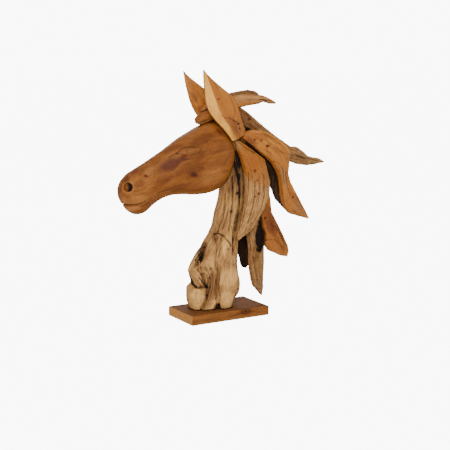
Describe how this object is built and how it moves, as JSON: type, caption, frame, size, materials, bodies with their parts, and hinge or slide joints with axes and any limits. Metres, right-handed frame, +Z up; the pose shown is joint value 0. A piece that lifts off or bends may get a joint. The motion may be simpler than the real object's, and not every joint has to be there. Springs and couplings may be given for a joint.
{
  "type": "driftwood horse head sculpture",
  "caption": "Horse head and neck assembled from carved, sawn and weathered teak pieces, with upright ears and a mane of loose locks, on a plain rectangular board.",
  "frame": {"origin": "centre of the base board's underside", "axes": "+X along the board towards the back of the neck, so the horse looks along -X; +Y towards the horse's right side; +Z up"},
  "size_m": [0.7365, 0.152, 0.7525],
  "materials": {
    "base_teak": "planed teak, satin oil",
    "carved_teak": "carved and sanded teak, satin oil",
    "ear_teak": "sawn and sanded teak, satin",
    "sawn_teak": "sawn teak, matt",
    "root_teak": "weathered teak root, matt",
    "weathered_teak": "weathered grey-brown teak, matt",
    "dark_teak": "dark weathered heartwood, matt"
  },
  "bodies": {
    "root": {"base_board": "base_teak", "carved_head": "carved_teak", "neck_root": "root_teak", "left_ear": "ear_teak", "right_ear": "ear_teak", "left_cheek_lock": "root_teak", "fork_lock": "sawn_teak", "crest_lock": "weathered_teak", "poll_lock_near": "sawn_teak", "poll_lock_far": "weathered_teak", "forelock_lower": "sawn_teak", "forelock_upper": "sawn_teak", "nape_lock": "dark_teak", "boot_lock": "sawn_teak", "hanging_lock": "weathered_teak", "right_cheek_lock": "dark_teak"}
  },
  "joints": []
}
